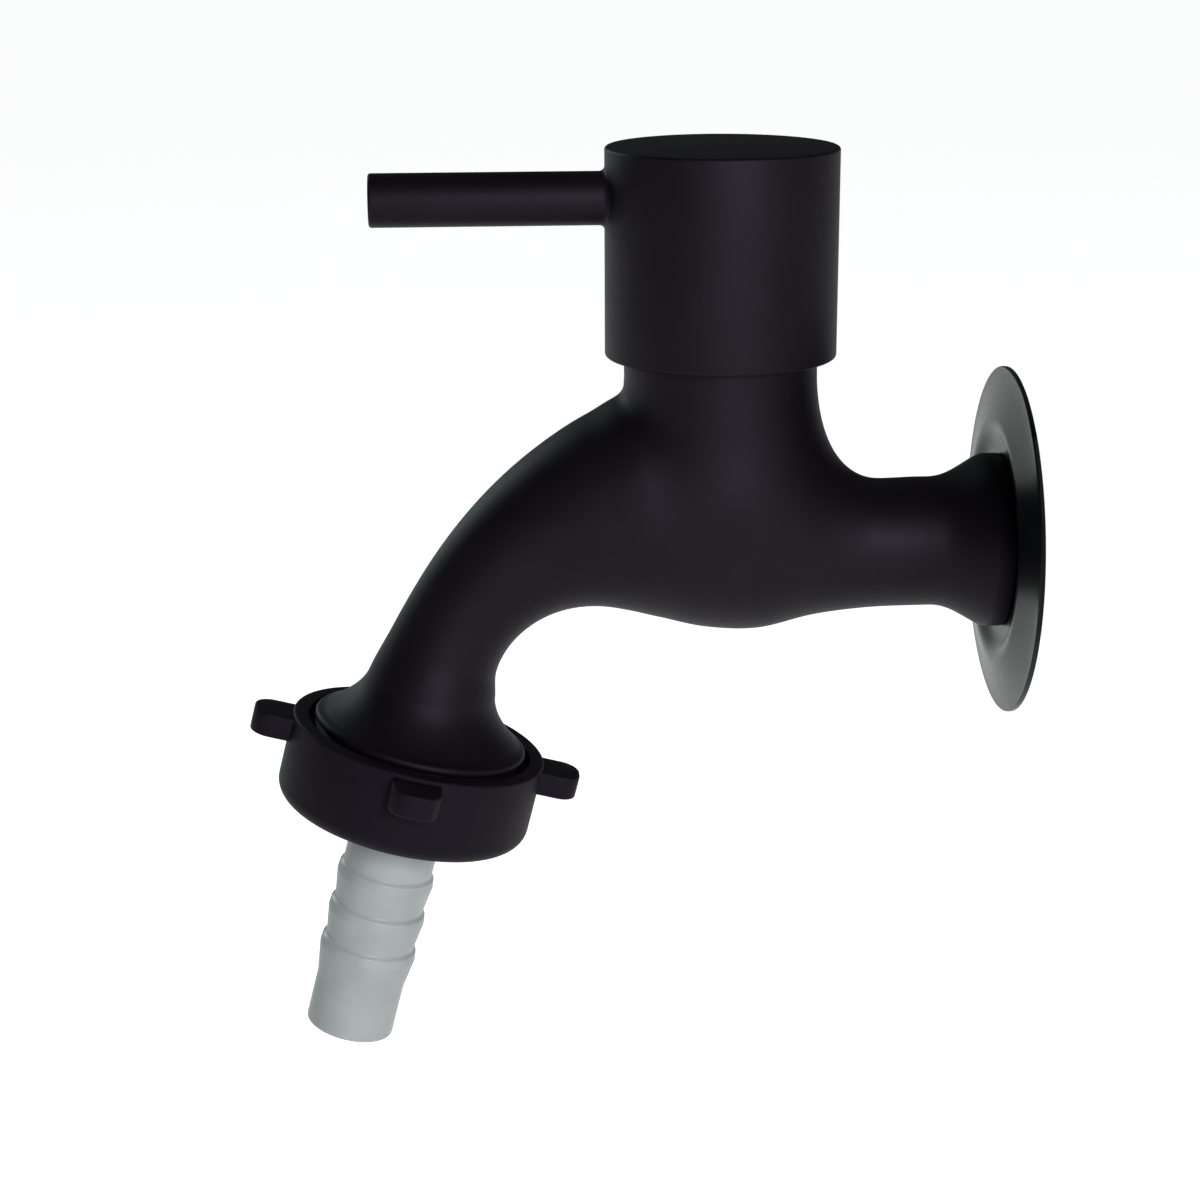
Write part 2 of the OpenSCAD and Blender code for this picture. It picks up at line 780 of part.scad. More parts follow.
// Union nut with its lugs: a rim round the lip, the thread, and a floor under the tail
module union_nut() {
  edge = 0.4;
  color("#1e1c20")
    about_outlet() {
      rotate_extrude()
        polygon(concat(
          [[nut_hole_r, -nut_h]],
          arc([nut_r - nut_round, -nut_h + nut_round], nut_round, -90, 0, 6),
          arc([nut_r - edge, -edge], edge, 0, 90, 3),
          [[lip_r + rim_gap, 0], [lip_r + rim_gap, -rim_depth], [nut_bore_r, -rim_depth]],
          [[nut_bore_r, -nut_h + nut_floor], [nut_hole_r, -nut_h + nut_floor]]
        ));
      for (i = [0 : lug_n - 1])
        rotate([0, 0, 360 * i / lug_n])
          lug();
    }
}

// Hose tail: a flange held by the nut, and a barbed shank with its bore
module hose_tail() {
  tail_r = tail_d / 2;
  barb_r = barb_d / 2;
  top = outlet_end - hose_washer_t;
  color("#a2a7a7")
    about_outlet()
      rotate_extrude()
        polygon(concat(
          [[tail_bore_d / 2, top], [tail_flange_r, top], [tail_flange_r, top - tail_flange_t]],
          [[tail_r + 0.15, top - tail_flange_t], [tail_r + 0.15, -barb_start + 0.6]],
          [for (i = [0 : barb_n - 1])
            let (z = -barb_start - i * barb_pitch)
            each concat(
              arc([barb_r - 0.35, z - 0.1], 0.35, 90, 0, 3),
              i < barb_n - 1
                ? [[barb_r, z - 1.2], [tail_r + 0.1, z - barb_pitch + 0.6]]
                : [[barb_r, z - 1.2], [tail_r, z - barb_pitch]]
            )],
          [[tail_r, -tail_l + 0.3], [tail_r - 0.3, -tail_l], [tail_bore_d / 2, -tail_l]]
        ));
}

// Rubber washer between the outlet's end and the hose tail
module hose_washer() {
  color("#26262a")
    about_outlet()
      translate([0, 0, outlet_end - hose_washer_t])
        ring(tail_flange_r - 0.2, spout_bore_d / 2 + 1, hose_washer_t);
}

tap_body();
wall_flange();
handle();
grub_screw();
spline_bush();
headwork_body();
headwork_gasket();
spindle();
spindle_circlip();
spindle_orings();
thrust_washer();
turning_disc();
fixed_disc();
seat_seal();
union_nut();
hose_tail();
hose_washer();
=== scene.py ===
import bmesh
import bpy
import numpy as np
from mathutils import Matrix


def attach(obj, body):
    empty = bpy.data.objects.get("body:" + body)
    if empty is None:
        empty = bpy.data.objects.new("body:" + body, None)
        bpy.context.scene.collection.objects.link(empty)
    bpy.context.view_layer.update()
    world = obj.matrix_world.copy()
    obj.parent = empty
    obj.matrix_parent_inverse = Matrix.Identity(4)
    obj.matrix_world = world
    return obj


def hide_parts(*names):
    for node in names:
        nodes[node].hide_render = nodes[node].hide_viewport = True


# Laundry tub tap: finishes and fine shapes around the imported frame.
# Sizes are in millimetres in the dictionaries and become metres in the meshes.
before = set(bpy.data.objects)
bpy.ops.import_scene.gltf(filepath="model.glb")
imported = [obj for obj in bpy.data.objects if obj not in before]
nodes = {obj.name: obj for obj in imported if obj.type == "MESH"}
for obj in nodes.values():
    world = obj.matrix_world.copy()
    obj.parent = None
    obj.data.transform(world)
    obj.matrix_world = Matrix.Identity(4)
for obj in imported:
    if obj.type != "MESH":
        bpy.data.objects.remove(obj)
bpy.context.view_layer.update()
print("frame loaded:", len(nodes), "nodes")

# Small tools


def linearColour(hexText):
    # sRGB hex to linear: each channel below 0.04045 is divided by 12.92, the rest follow the 2.4 power
    s = np.array([int(hexText[i:i + 2], 16) for i in (1, 3, 5)]) / 255
    lin = np.where(s <= 0.04045, s / 12.92, ((s + 0.055) / 1.055) ** 2.4)
    return (*[float(c) for c in lin], 1.0)


def addNode(tree, kind, settings=None, inputs=None):
    # one node with its settings, and its inputs as values or as sockets to link
    node = tree.nodes.new(kind)
    for name, value in (settings or {}).items():
        setattr(node, name, value)
    for name, value in (inputs or {}).items():
        if isinstance(value, bpy.types.NodeSocket):
            tree.links.new(value, node.inputs[name])
        else:
            node.inputs[name].default_value = value
    return node


def shellArrays(grid, closing):
    # a grid of rings (rows, around, xyz) as one closed shell: quads between neighbouring rings,
    # and either a middle point on each end ("ends") or the last row joined to the first ("rows")
    rows, around = grid.shape[:2]
    points = grid.reshape(-1, 3)
    index = np.arange(rows * around).reshape(rows, around)
    below = index if closing == "rows" else index[:-1]
    above = np.roll(index, -1, axis=0) if closing == "rows" else index[1:]
    quads = np.stack([below, np.roll(below, -1, 1), np.roll(above, -1, 1), above], -1).reshape(-1, 4)
    tris = np.zeros((0, 3), int)
    if closing == "ends":
        ends = np.stack([grid[0].mean(0), grid[-1].mean(0)])
        points = np.vstack([points, ends])
        first, last = rows * around, rows * around + 1
        fan = lambda ring, tip, turn: np.stack([np.full(around, tip), ring, np.roll(ring, turn)], -1)
        tris = np.vstack([fan(np.roll(index[0], -1), first, 1), fan(index[-1], last, -1)])
    corners = points[quads]
    half = np.vstack([corners[:, [0, 1, 2]], corners[:, [0, 2, 3]], points[tris]])
    volume = np.einsum("ij,ij->i", half[:, 0], np.cross(half[:, 1], half[:, 2])).sum()
    if volume < 0:  # the faces then looked inwards
        quads, tris = quads[:, ::-1], tris[:, ::-1]
    return points, quads, tris


def makeMesh(name, grid, closing, material=None, sharpAngle=32):
    # an object from a grid in mm, closed as shellArrays says
    points, quads, tris = shellArrays(grid, closing)
    mesh = bpy.data.meshes.new(name)
    loops = np.concatenate([quads.ravel(), tris.ravel()]).astype(np.int32)
    sizes = np.concatenate([np.full(len(quads), 4), np.full(len(tris), 3)])
    mesh.vertices.add(len(points))
    mesh.vertices.foreach_set("co", (points * 0.001).astype(np.float32).ravel())
    mesh.loops.add(len(loops))
    mesh.loops.foreach_set("vertex_index", loops)
    mesh.polygons.add(len(sizes))
    mesh.polygons.foreach_set("loop_start", np.concatenate([[0], np.cumsum(sizes)[:-1]]).astype(np.int32))
    mesh.update(calc_edges=True)
    mesh.validate()
    obj = bpy.data.objects.new(name, mesh)
    bpy.context.scene.collection.objects.link(obj)
    finishMesh(obj, material, sharpAngle)
    return obj


def finishMesh(obj, material, sharpAngle=32):
    # smooth shading, with creases only where faces meet at more than the sharp angle
    mesh = obj.data
    mesh.polygons.foreach_set("use_smooth", np.ones(len(mesh.polygons), bool))
    mesh.set_sharp_from_angle(angle=np.radians(sharpAngle))
    if material:
        mesh.materials.clear()
        mesh.materials.append(material)
    mesh.update()


def combine(obj, tools, material, sharpAngle=32):
    # joins solids to a piece or cuts them out of it: tools lists (object, "UNION" or "DIFFERENCE")
    for tool, operation in tools:
        step = obj.modifiers.new(tool.name, "BOOLEAN")
        step.operation, step.object, step.solver = operation, tool, "MANIFOLD"
    graph = bpy.context.evaluated_depsgraph_get()
    mesh = bpy.data.meshes.new_from_object(obj.evaluated_get(graph))
    obj.modifiers.clear()
    # points within a ten-thousandth of a millimetre become one, so no sliver is left along a join
    joined = bmesh.new()
    joined.from_mesh(mesh)
    bmesh.ops.remove_doubles(joined, verts=joined.verts, dist=1e-7)
    joined.to_mesh(mesh)
    joined.free()
    old = obj.data
    obj.data = mesh
    mesh.name = obj.name
    bpy.data.meshes.remove(old)
    for tool, _ in tools:
        data = tool.data
        bpy.data.objects.remove(tool)
        bpy.data.meshes.remove(data)
    finishMesh(obj, material, sharpAngle)
    return obj


def turned(profile, steps=128):
    # a profile of [radius, height] carried round Z: x = r cos a, y = r sin a, z = h
    profile = np.asarray(profile, float)
    a = np.linspace(0, 2 * np.pi, steps, endpoint=False)
    r, h = profile[:, :1], profile[:, 1:]
    return np.stack([r * np.cos(a), r * np.sin(a), h + 0 * a], -1)


def rounded(corners, steps=6):
    # corners are [x, y, radius]; each turn is replaced by an arc that touches both of its sides
    corners = np.asarray(corners, float)
    points = []
    for before, at, after in zip(np.roll(corners, 1, 0), corners, np.roll(corners, -1, 0)):
        if at[2] <= 0:
            points.append(at[None, :2])
            continue
        u, v = before[:2] - at[:2], after[:2] - at[:2]
        lu, lv = np.linalg.norm(u), np.linalg.norm(v)
        u, v = u / lu, v / lv
        half = np.arccos(np.clip(u @ v, -1, 1)) / 2
        reach = min(at[2] / np.tan(half), lu * 0.49, lv * 0.49)
        radius = reach * np.tan(half)
        middle = at[:2] + (u + v) / np.linalg.norm(u + v) * radius / np.sin(half)
        start, end = at[:2] + u * reach - middle, at[:2] + v * reach - middle
        angle = np.arctan2(start[0] * end[1] - start[1] * end[0], start @ end)
        t = np.linspace(0, angle, steps + 1)[:, None]
        arc = [start[0] * np.cos(t) - start[1] * np.sin(t), start[0] * np.sin(t) + start[1] * np.cos(t)]
        points.append(middle + np.hstack(arc))
    return np.vstack(points)


def aboutInlet(points):
    # heights become distances from the wall, towards -X
    return np.stack([-points[..., 2], points[..., 1], points[..., 0]], -1)


def aboutHub(points):
    # a shape made round Z is moved to the hub's axis
    return points + [-tap["hubOff"], 0, 0]


def aboutOutlet(points):
    # heights run up the outlet's axis from the nut's rim
    tilt = np.radians(tap["outletTilt"])
    x = points[..., 0] * np.cos(tilt) + points[..., 2] * np.sin(tilt)
    z = -points[..., 0] * np.sin(tilt) + points[..., 2] * np.cos(tilt)
    return np.stack([x - tap["outletOff"], points[..., 1], z - tap["outletDrop"]], -1)


# Finishes


def grainBump(tree, coords, layers):
    # layers are (grain in mm, height in mm, detail); each one's noise bends the surface a little
    normal = None
    for size, height, detail in layers:
        noise = addNode(tree, "ShaderNodeTexNoise", {}, {
            "Vector": coords, "Scale": 1000 / size, "Detail": detail, "Roughness": 0.55})
        links = {"Height": noise.outputs["Fac"], "Strength": 1.0, "Distance": height * 0.001}
        if normal:
            links["Normal"] = normal
        normal = addNode(tree, "ShaderNodeBump", {}, links).outputs["Normal"]
    return normal


def newFinish(name):
    # an empty material whose patterns read object coordinates
    material = bpy.data.materials.new(name)
    material.use_nodes = True
    tree = material.node_tree
    tree.nodes.clear()
    coords = addNode(tree, "ShaderNodeTexCoord").outputs["Object"]
    return material, tree, coords


def rangeOf(tree, value, low, high):
    # spreads a noise value over a range
    node = addNode(tree, "ShaderNodeMapRange", {}, {
        "Value": value, "From Min": 0.3, "From Max": 0.7, "To Min": low, "To Max": high})
    return node.outputs["Result"]


def closeFinish(material, tree, settings, links):
    # the shader, with its plain settings and its linked patterns
    inputs = dict(settings)
    inputs.update(links)
    shader = addNode(tree, "ShaderNodeBsdfPrincipled", {}, inputs)
    addNode(tree, "ShaderNodeOutputMaterial", {}, {"Surface": shader.outputs["BSDF"]})
    return material


def mixOf(tree, factor, dark, light):
    # a colour between two shades, as far along as the factor says
    node = tree.nodes.new("ShaderNodeMix")
    node.data_type = "RGBA"
    tree.links.new(factor, node.inputs["Factor"])
    node.inputs["A"].default_value = linearColour(dark)
    node.inputs["B"].default_value = linearColour(light)
    return node.outputs["Result"]


def mottledFinish(name, v):
    # colour clouds of a few millimetres between two close shades, a roughness that wanders with
    # them, and a fine grain in the surface
    material, tree, coords = newFinish(name)
    cloud = addNode(tree, "ShaderNodeTexNoise", {}, {
        "Vector": coords, "Scale": 1000 / v["cloudMm"], "Detail": 3.0})
    colour = mixOf(tree, rangeOf(tree, cloud.outputs["Fac"], 0.0, 1.0), v["dark"], v["light"])
    fine = addNode(tree, "ShaderNodeTexNoise", {}, {
        "Vector": coords, "Scale": 1000 / v["speckMm"], "Detail": 2.0})
    swing = v["roughSwing"]
    rough = rangeOf(tree, fine.outputs["Fac"], v["roughness"] - swing, v["roughness"] + swing)
    settings = {
        "IOR": v["ior"], "Metallic": v.get("metallic", 0.0),
        "Specular IOR Level": v.get("specular", 0.5), "Specular Tint": linearColour(v.get("tint", "#FFFFFF")),
    }
    if "scatter" in v:
        settings["Subsurface Weight"] = v["scatter"]
        settings["Subsurface Radius"] = (0.9, 1.0, 1.0)
        settings["Subsurface Scale"] = 0.0015
    links = {"Base Color": colour, "Roughness": rough, "Normal": grainBump(tree, coords, v["grain"])}
    return closeFinish(material, tree, settings, links)


# Matt black powder coat on the casting and the handle: soft, wide highlights, a faint orange peel
# of a third of a millimetre and a finer grain, drawn a little coarser than real so that it shows
powderCoat = mottledFinish("matt_powder_coat", {
    "dark": "#050406", "light": "#09070B", "cloudMm": 9, "speckMm": 0.5,
    "roughness": 0.57, "roughSwing": 0.03, "ior": 1.45, "specular": 0.17, "tint": "#F3E6FF",
    "grain": [(0.42, 0.0022, 2.0), (0.14, 0.0016, 1.0)],
})

# The same coat on smooth pressed sheet lies flatter and shines more
sheetCoat = mottledFinish("powder_coat_on_pressed_sheet", {
    "dark": "#0D0E10", "light": "#111214", "cloudMm": 12, "speckMm": 0.6,
    "roughness": 0.31, "roughSwing": 0.03, "ior": 1.5, "specular": 0.13,
    "grain": [(0.6, 0.0014, 1.0)],
})

# Moulded black nylon: spark-eroded texture of about a fifth of a millimetre, dull
mouldedNylon = mottledFinish("moulded_black_nylon", {
    "dark": "#0B080E", "light": "#0F0C12", "cloudMm": 6, "speckMm": 0.35,
    "roughness": 0.62, "roughSwing": 0.04, "ior": 1.53, "specular": 0.095, "tint": "#F3E6FF",
    "grain": [(0.3, 0.003, 2.0), (0.12, 0.0016, 0.0)],
})

# Moulded grey acetal: smooth, with light that goes a little way in
mouldedAcetal = mottledFinish("moulded_grey_acetal", {
    "dark": "#949C9B", "light": "#A0A7A6", "cloudMm": 7, "speckMm": 0.8,
    "roughness": 0.4, "roughSwing": 0.04, "ior": 1.48, "scatter": 0.12,
    "grain": [(0.5, 0.0015, 1.0)],
})

# Turned brass of the headwork: lathe marks show as a fine change of roughness
turnedBrass = mottledFinish("turned_brass", {
    "dark": "#B08D45", "light": "#C29E55", "cloudMm": 3, "speckMm": 0.15,
    "roughness": 0.28, "roughSwing": 0.06, "ior": 1.5, "metallic": 1.0,
    "grain": [(0.2, 0.002, 1.0)],
})

# Plain steel of the grub screw and the circlip: an even, slightly dulled shine
plainSteel = mottledFinish("plain_steel", {
    "dark": "#7C7E82", "light": "#96989B", "cloudMm": 1.5, "speckMm": 0.1,
    "roughness": 0.32, "roughSwing": 0.05, "ior": 1.5, "metallic": 1.0,
    "grain": [(0.15, 0.0015, 1.0)],
})

# Bush and washer: moulded acetal, milky
whiteAcetal = mottledFinish("moulded_white_acetal", {
    "dark": "#D2CEC2", "light": "#DEDBD2", "cloudMm": 4, "speckMm": 0.4,
    "roughness": 0.42, "roughSwing": 0.04, "ior": 1.48, "scatter": 0.1,
    "grain": [(0.4, 0.0015, 1.0)],
})

# Alumina discs: ground and lapped, with a fine even grit
lappedCeramic = mottledFinish("lapped_alumina", {
    "dark": "#E4DFD3", "light": "#EFEBE1", "cloudMm": 2, "speckMm": 0.08,
    "roughness": 0.2, "roughSwing": 0.03, "ior": 1.76,
    "grain": [(0.1, 0.0006, 1.0)],
})

# Seals: moulded black rubber, dull with a dusty bloom
blackRubber = mottledFinish("moulded_black_rubber", {
    "dark": "#1B1B1C", "light": "#262627", "cloudMm": 2, "speckMm": 0.3,
    "roughness": 0.68, "roughSwing": 0.06, "ior": 1.52,
    "grain": [(0.25, 0.003, 2.0)],
})

# Gasket: pressed red fibre, with fibres a few tenths of a millimetre long
pressedFibre = mottledFinish("pressed_red_fibre", {
    "dark": "#6E3226", "light": "#8F4A3A", "cloudMm": 0.8, "speckMm": 0.2,
    "roughness": 0.8, "roughSwing": 0.08, "ior": 1.5,
    "grain": [(0.3, 0.006, 3.0)],
})
print("finishes made")

# Body of the tap

tap = {
    "hubOff": 45.0, "outletOff": 91.8, "outletDrop": 29.9, "outletTilt": 14.3,
    "tubeR": 10.0, "neckR": 14.6, "neckTop": 32.5, "neckFoot": 6.0, "neckRound": 8.0,
    "filletTop": 26.9,
    "bellyDrop": 13.3, "bellyHalfW": 14.2, "waistR": 8.5,
    "filletWall": 10.5, "filletUp": 17.0, "filletSpout": 1.7,
    "collarR": 13.45, "collarL": 12.3, "collarEdge": 2.5, "recess": 1.1,
    "lipR": 16.8, "lipT": 1.6, "lipRise": 1.2, "flareL": 8.5, "outletEnd": -7.1,
    "inletBoreR": 6.5, "seatBoreR": 5.5, "seatZ": 9.0, "chamberR": 11.0, "spoutBoreR": 6.0,
    "inletR": 10.4775, "inletL": 14.0, "inletPitch": 1.814, "reliefR": 9.5775,
    "outletR": 16.6245, "outletPitch": 2.309, "headworkHoleR": 10.5275, "chamberTop": 23.5,
    "crownBack": 10.2, "crownZ": 6.9, "crownLean": 87.5, "waistAt": 0.765,
    "hornSwell": 9.75, "flareSwell": 1.6, "flareLead": 0.28, "throatBulge": 2.5, "crownDip": 0.8,
    "crownPull": 19.8, "flarePull": 14.6, "inletRoot": 1.16, "outletRoot": 1.45,
    "inletFace": (7.2, 9.3), "outletFace": (15.3, 6.6),
}

# how finely the body is drawn: points in a ring, and steps in mm or in sections between rings
bodyDetail = {
    "around": 168, "inletStep": 0.16, "outletStep": 0.17,
    "bellyStep": 0.06, "crownStep": 0.018, "spoutStep": 0.08,
}


def outletUp():
    # the direction of the outlet's axis in x and z: the sine and cosine of its tilt
    tilt = np.radians(tap["outletTilt"])
    return np.array([np.sin(tilt), np.cos(tilt)])


def flareAt():
    # where the flare begins: the middle of the nut's rim plus the flare's length up the axis
    return np.array([-tap["outletOff"], -tap["outletDrop"]]) + tap["flareL"] * outletUp()


def curvePoint(p, t):
    # cubic curve: the four points weighed by (1-t)^3, 3t(1-t)^2, 3t^2(1-t) and t^3
    t = np.asarray(t, float)[..., None]
    return (1 - t) ** 3 * p[0] + 3 * t * (1 - t) ** 2 * p[1] + 3 * t * t * (1 - t) * p[2] + t ** 3 * p[3]


def curveSlope(p, t):
    # its slope: the steps from point to point weighed by 3(1-t)^2, 6t(1-t) and 3t^2
    t = np.asarray(t, float)[..., None]
    return 3 * (1 - t) ** 2 * (p[1] - p[0]) + 6 * t * (1 - t) * (p[2] - p[1]) + 3 * t * t * (p[3] - p[2])


def hornRadius(t):
    # the waist's radius, plus a square swelling towards the crown and one towards the flare
    near = tap["hornSwell"] * (1 - t / tap["waistAt"]) ** 2
    far = tap["flareSwell"] * ((t - tap["waistAt"]) / (1 - tap["waistAt"])) ** 2
    return tap["waistR"] + np.where(t < tap["waistAt"], near, far)


def sectionTable():
    # sections as [x, z, lean, height above, height below, half width], along the inlet tube,
    # under the hub and then down the spout; the part's own formula
    r, drop, halfW = tap["tubeR"], tap["bellyDrop"], tap["bellyHalfW"]
    crownH = float(hornRadius(0.0)) - 0.4
    startX = -tap["collarL"] * 0.46
    stepX = (tap["hubOff"] + tap["crownBack"] + startX) / 6
    tube = np.array([
        [0, 90, r, r, r],
        [0, 90, r, r, r],
        [0, 90, r, r + 0.2, r],
        [0.5, 90.5, r + 1.4, (r + drop) / 2, r + 0.8],
        [1.9, 92, r + 3, drop + 1.7, halfW - 1.6],
        [4.5, 91, crownH - 2.6, drop + 3.9, halfW - 0.2],
        [tap["crownZ"], tap["crownLean"], crownH, drop + 4.6, halfW + 0.2],
    ])
    tube = np.hstack([(startX - stepX * np.arange(7))[:, None], tube])
    lean = np.radians(tap["crownLean"])
    crownAt = np.array([-tap["hubOff"] - tap["crownBack"], tap["crownZ"]])
    line = np.array([
        crownAt,
        crownAt + tap["crownPull"] * np.array([-np.sin(lean), -np.cos(lean)]),
        flareAt() + tap["flarePull"] * outletUp(),
        flareAt(),
    ])
    t = np.arange(1, 9) / 8
    p, d = curvePoint(line, t), curveSlope(line, t)
    radius = hornRadius(t)
    bulge = 4 * t * (1 - t) ** 2
    side = radius - (hornRadius(0.0) - halfW - 0.2) * (1 - t) ** 5
    horn = np.stack([p[:, 0], p[:, 1], np.degrees(np.arctan2(-d[:, 0], -d[:, 1])),
                     radius - tap["crownDip"] * bulge, radius + tap["throatBulge"] * bulge, side], 1)
    end = flareAt() - 3.5 * outletUp()
    last = float(hornRadius(1.0))
    table = np.vstack([tube, horn, [[end[0], end[1], tap["outletTilt"], last, last, last]]])
    return table, startX, stepX


def sectionsAt(table, t):
    # sections between the table's rows, on a smooth curve through them
    n = len(table)
    i = np.clip(np.floor(t).astype(int), 0, n - 2)
    u = (t - i)[:, None]
    b, c = table[i], table[i + 1]
    a = np.where((i == 0)[:, None], 2 * b - c, table[np.clip(i - 1, 0, n - 1)])
    d = np.where((i == n - 2)[:, None], 2 * c - b, table[np.clip(i + 2, 0, n - 1)])
    bend, twist = 2 * a - 5 * b + 4 * c - d, 3 * b - a - 3 * c + d
    return 0.5 * (2 * b + (c - a) * u + bend * u ** 2 + twist * u ** 3)


def smoothMin(a, b, k):
    # the lesser of two distances, less a square of how far they are within k of each other
    return np.minimum(a, b) - np.maximum(k - np.abs(a - b), 0) ** 2 / (4 * k)


def skinRings(places, top):
    # each point lies on a ray across its section, where the section's ellipse and the neck,
    # run together with a fillet that is wide towards the wall, have their common skin
    s = sectionsAt(sectionTable()[0], places)
    a = np.linspace(0, 2 * np.pi, bodyDetail["around"], endpoint=False)
    lean = np.radians(s[:, 2])[:, None, None]
    centre = np.stack([s[:, 0], 0 * s[:, 0], s[:, 1]], 1)[:, None, :]
    up = np.concatenate([-np.cos(lean), 0 * lean, np.sin(lean)], -1)
    ray = up * np.cos(a)[None, :, None] + np.array([0, 1.0, 0]) * np.sin(a)[None, :, None]
    high = np.where(np.cos(a)[None] > 0, s[:, 3:4], s[:, 4:5])
    ellipse = 1 / np.sqrt((np.cos(a)[None] / high) ** 2 + (np.sin(a)[None] / s[:, 5:6]) ** 2)

    def gap(reach):
        p = centre + ray * reach[..., None]
        x, q = p[..., 0] + tap["hubOff"], np.hypot(p[..., 0] + tap["hubOff"], p[..., 1])
        w = (1 + x / np.maximum(q, 0.02)) / 2
        k = tap["filletSpout"] + (tap["filletWall"] - tap["filletSpout"]) * w
        rise = 1 - (1 - tap["filletWall"] / tap["filletUp"]) * w
        neck = -smoothMin(tap["neckR"] - q, p[..., 2] - tap["neckFoot"], tap["neckRound"])
        return np.maximum(smoothMin((reach - ellipse) * rise, neck, k), p[..., 2] - top)

    # the skin lies between the ellipse and 60 mm out; 26 halvings find it to a millionth of a mm
    near, far = ellipse.copy(), np.full_like(ellipse, 60.0)
    for _ in range(26):
        middle = (near + far) / 2
        inside = gap(middle) < 0
        near, far = np.where(inside, middle, near), np.where(inside, far, middle)
    return centre + ray * near[..., None]


def threadRings(radius, pitch, depth, heights, ends, around):
    # a screw thread: the radius dips by a rounded wave of height / pitch minus angle / one turn;
    # over the last part of a pitch at both ends it fades into a plain shank of about half its depth
    fadeL, shank = 0.6 * pitch, 0.55
    a = np.linspace(0, 2 * np.pi, around, endpoint=False)[None]
    h = np.asarray(heights, float)[:, None]
    wave = 0.5 - 0.5 * np.cos(2 * np.pi * (h / pitch - a / (2 * np.pi)))
    fade = np.clip((h - ends[0]) / fadeL, 0, 1) * np.clip((ends[1] - h) / fadeL, 0, 1)
    r = radius - depth * (1 - fade) * shank - depth * fade * (1 - wave ** 0.8)
    return np.stack([r * np.cos(a), r * np.sin(a), h + 0 * a], -1)


def turnStart(points):
    # turned rings start at +X, but the skin's sections start at their top, which is -X at the outlet
    return np.stack([-points[..., 0], points[..., 1], points[..., 2]], -1)


def bodyGrid():
    # the whole outside of the casting as one run of rings: wall end, skin, and mouth
    around = bodyDetail["around"]
    startX, stepX = sectionTable()[1:]
    placeAt = lambda x: (startX - x) / stepX
    # inlet thread, from its end face back to the relief, as heights off the wall
    threadL = tap["inletL"]
    heights = np.arange(-threadL + 0.05, 0.0, bodyDetail["inletStep"])
    thread = threadRings(tap["inletR"], tap["inletPitch"], tap["inletRoot"], heights, (-threadL, 0.4), around)
    face = turned([[r, -threadL] for r in tap["inletFace"]], around)
    top = tap["recess"] + tap["collarEdge"]
    u = np.linspace(0, 1, 30)
    swell = np.stack([tap["tubeR"] + (tap["collarR"] - tap["tubeR"]) * (1 + np.cos(np.pi * u ** 0.77)) / 2,
                      top + (tap["collarL"] - top) * u], 1)
    collar = np.vstack([
        [[tap["reliefR"], 0.02], [tap["reliefR"], tap["recess"]]],
        rounded([[tap["reliefR"], tap["recess"], 0], [tap["collarR"], tap["recess"], 0.45],
                 [tap["collarR"], top, 0]])[1:-1],
        swell,
    ])
    wallEnd = aboutInlet(np.vstack([face, thread, turned(collar, around)]))
    # skin from the collar to the flare, with rings close together round the neck
    neckR, hub = tap["neckR"], tap["hubOff"]
    places = np.concatenate([
        placeAt(np.linspace(-tap["collarL"] - 0.3, -hub + neckR + 10.5, 22)),
        placeAt(-hub + neckR + 0.1 * np.linspace(10, 0, 46) ** 2),
        placeAt(-hub + neckR * np.cos(np.radians(np.linspace(1.5, 100, 92)))),
        np.arange(placeAt(-hub + neckR * np.cos(np.radians(101.5))), 5.75, bodyDetail["bellyStep"]),
        np.arange(5.75, 7.05, bodyDetail["crownStep"]),
        np.arange(7.05, 13.98, bodyDetail["spoutStep"]),
    ])
    skin = skinRings(np.unique(places), tap["neckTop"] - 1.5)
    # flare, lip and outlet thread, about the outlet's axis
    edge = tap["lipT"] / 2
    start = float(hornRadius(1.0))
    wide = tap["lipR"] - edge
    u = np.linspace(0.02, 0.98, 26)
    lead = tap["flareLead"]
    # the flare widens by u (lead + (1 - lead) u), with u going down from its top to the lip
    flare = np.stack([start + (wide - start) * u * (lead + (1 - lead) * u),
                      tap["flareL"] - (tap["flareL"] - tap["lipRise"]) * u], 1)
    b = np.radians(np.linspace(66, -80, 12))
    lip = np.stack([wide + edge * np.cos(b), tap["lipRise"] - edge + edge * np.sin(b)], 1)
    under = [[tap["outletR"] - 0.9, tap["lipRise"] - tap["lipT"]]]
    rim = turned(np.vstack([flare, lip, under]), around)
    low = tap["outletEnd"]
    heights = np.arange(tap["lipRise"] - tap["lipT"] - 0.1, low + 0.03, -bodyDetail["outletStep"])
    outer = threadRings(tap["outletR"], tap["outletPitch"], tap["outletRoot"], heights, (low, 0.4), around)
    lastFace = turned([[r, low] for r in tap["outletFace"]], around)
    mouth = np.vstack([rim, outer, lastFace])
    return wallEnd, skin, aboutOutlet(turnStart(mouth))


